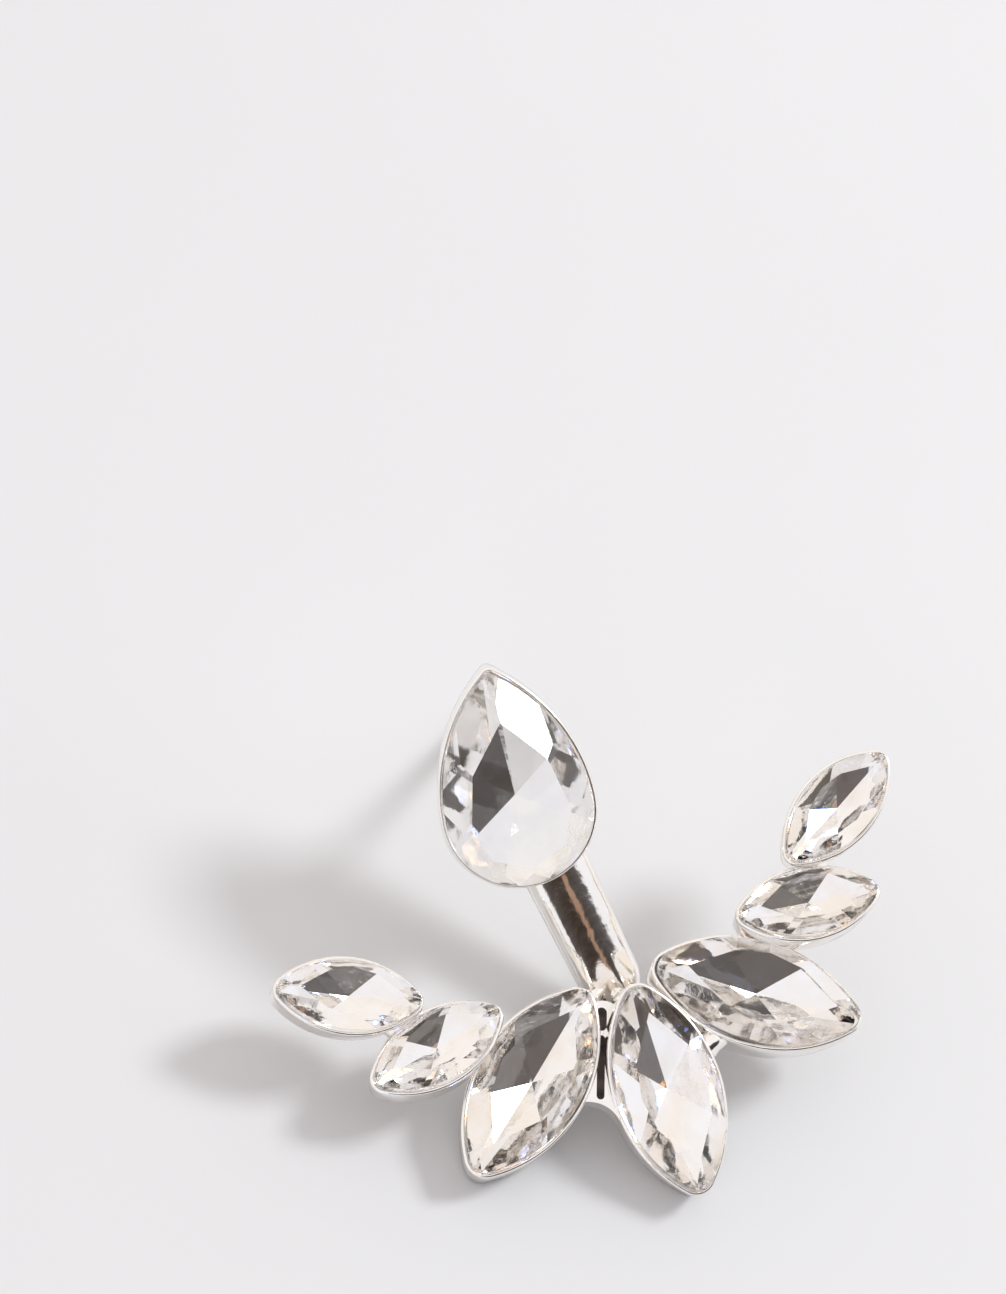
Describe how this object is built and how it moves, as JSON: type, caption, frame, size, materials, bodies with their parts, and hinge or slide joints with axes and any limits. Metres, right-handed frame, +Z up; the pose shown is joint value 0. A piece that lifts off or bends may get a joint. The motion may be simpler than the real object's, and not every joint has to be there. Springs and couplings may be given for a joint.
{
  "type": "ear jacket earring",
  "caption": "Ear jacket earring: a pear stone stud whose post passes through a domed bar with a fan of marquise stones.",
  "frame": {"origin": "middle of the bounding box on the surface that the earring lies on", "axes": "+X across the fan, +Y from the fan's centre stone towards the stud, +Z up from the surface"},
  "size_m": [0.0337, 0.0306, 0.0161],
  "materials": {
    "silver_plate": "bright polished silver plating",
    "clear_stone": "clear faceted glass with foil behind"
  },
  "bodies": {
    "jacket": {"jacket_casting": "silver_plate", "left_end_stone": "clear_stone", "left_small_stone": "clear_stone", "left_large_stone": "clear_stone", "centre_stone": "clear_stone", "right_large_stone": "clear_stone", "right_small_stone": "clear_stone", "right_end_stone": "clear_stone"},
    "stud": {"stud_setting": "silver_plate", "pear_stone": "clear_stone"}
  },
  "joints": [
    {"name": "stud_swivel", "type": "hinge", "parent": "jacket", "child": "stud", "pos_m": [-0.0017, 0.00713, 0.01005], "axis": [-0.3842, -0.5775, 0.7204], "continuous": true}
  ]
}
